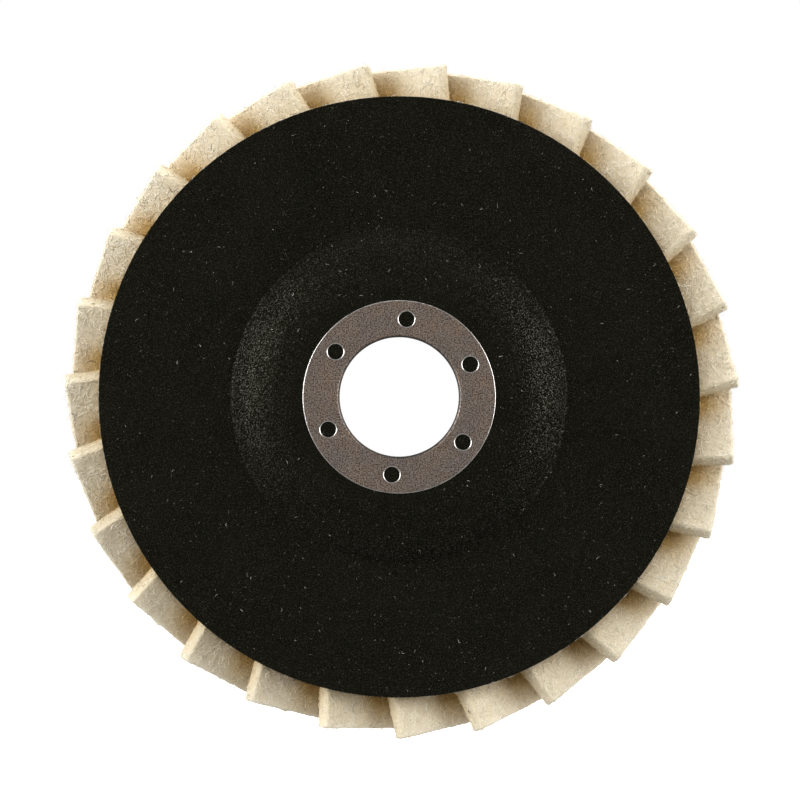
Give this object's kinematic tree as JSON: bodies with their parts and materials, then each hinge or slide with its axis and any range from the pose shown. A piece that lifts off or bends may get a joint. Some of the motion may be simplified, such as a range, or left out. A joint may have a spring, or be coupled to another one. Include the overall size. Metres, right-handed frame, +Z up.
{
  "type": "felt polishing wheel",
  "caption": "Round polishing wheel for an angle grinder: overlapping tilted wool felt flaps glued to a dished backing plate with a steel arbor ring.",
  "frame": {"origin": "on the wheel's axis, in the plane of the arbor ring's rear face, which seats on the machine's flange", "axes": "+Y along the wheel's axis from the machine to the working side, +Z up and +X to the right when the wheel is seen from the machine"},
  "size_m": [0.1273, 0.0238, 0.1273],
  "materials": {
    "arbor_steel": "satin",
    "cover_fleece": "matte",
    "glass_laminate": "satin",
    "epoxy": "gloss",
    "wool_felt": "matte"
  },
  "bodies": {
    "root": {"arbor_ring": "arbor_steel", "rear_cover_ply": "cover_fleece", "glass_ply_rear": "glass_laminate", "glass_ply_middle": "glass_laminate", "glass_ply_front": "glass_laminate", "adhesive_bed": "epoxy", "flap_01": "wool_felt", "flap_02": "wool_felt", "flap_03": "wool_felt", "flap_04": "wool_felt", "flap_05": "wool_felt", "flap_06": "wool_felt", "flap_07": "wool_felt", "flap_08": "wool_felt", "flap_09": "wool_felt", "flap_10": "wool_felt", "flap_11": "wool_felt", "flap_12": "wool_felt", "flap_13": "wool_felt", "flap_14": "wool_felt", "flap_15": "wool_felt", "flap_16": "wool_felt", "flap_17": "wool_felt", "flap_18": "wool_felt", "flap_19": "wool_felt", "flap_20": "wool_felt", "flap_21": "wool_felt", "flap_22": "wool_felt", "flap_23": "wool_felt", "flap_24": "wool_felt", "flap_25": "wool_felt", "flap_26": "wool_felt", "flap_27": "wool_felt"}
  },
  "joints": []
}
